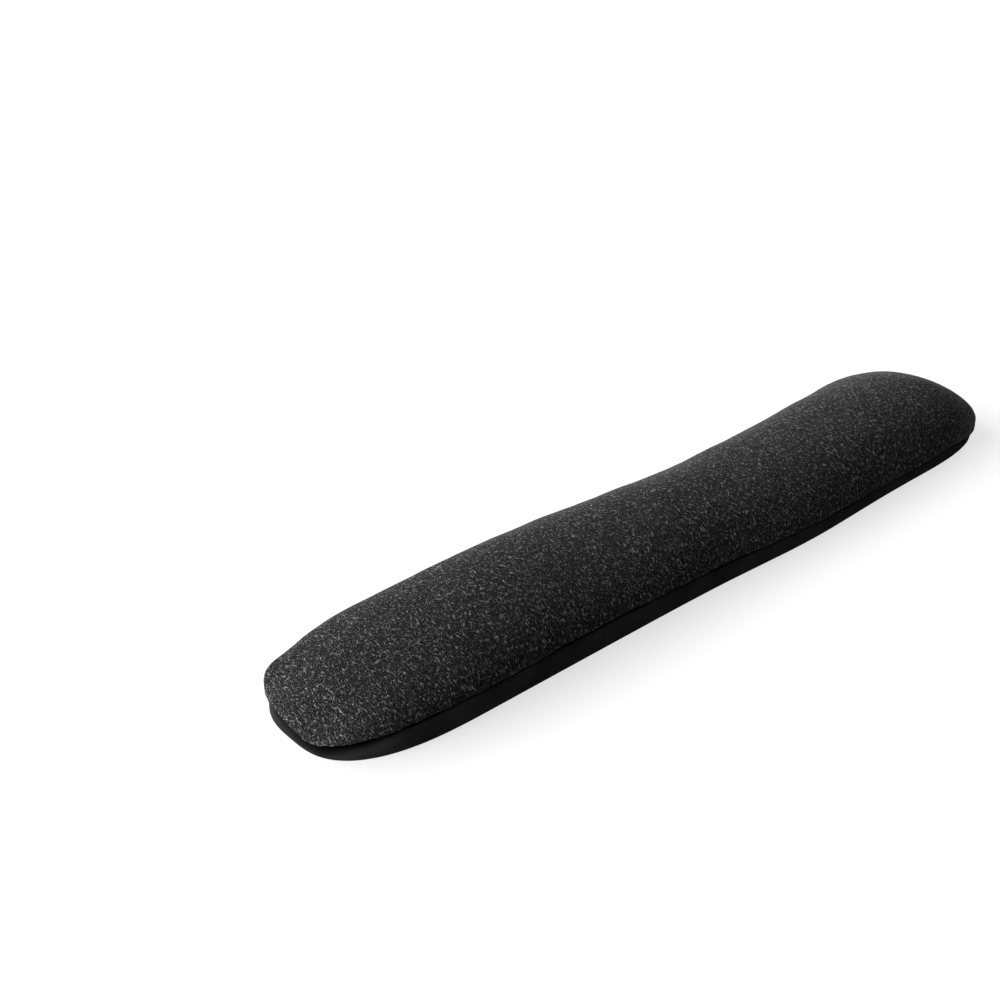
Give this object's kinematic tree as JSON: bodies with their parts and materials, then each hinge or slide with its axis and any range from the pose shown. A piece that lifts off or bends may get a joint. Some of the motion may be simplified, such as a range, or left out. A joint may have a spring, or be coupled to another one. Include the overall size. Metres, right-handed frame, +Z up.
{
  "type": "keyboard wrist rest",
  "caption": "Long low sewn cushion that supports the wrists in front of a keyboard, with a heathered knit top, a smooth dark base and a loose bead filling.",
  "frame": {"origin": "middle of the underside: centre of the bounding box in X and Y, at the height of the desk it rests on", "axes": "+Z up, +X along the cushion towards the user's right, +Y across it towards the keyboard"},
  "size_m": [0.412, 0.0804, 0.0286],
  "materials": {
    "top_fabric": "matte heathered charcoal brushed knit with lighter grey flecks",
    "base_fabric": "smooth matte black close-woven cloth",
    "thread": "matte black polyester sewing thread",
    "liner_fabric": "plain matte off-white non-woven liner",
    "filling": "matte white plastic beads"
  },
  "bodies": {
    "root": {"top_cover": "top_fabric", "base_cover": "base_fabric", "seam_stitching": "thread", "closing_stitching": "thread", "overlock_stitching": "thread", "liner_top": "liner_fabric", "liner_base": "liner_fabric", "liner_stitching": "liner_fabric", "bead_fill": "filling"}
  },
  "joints": []
}
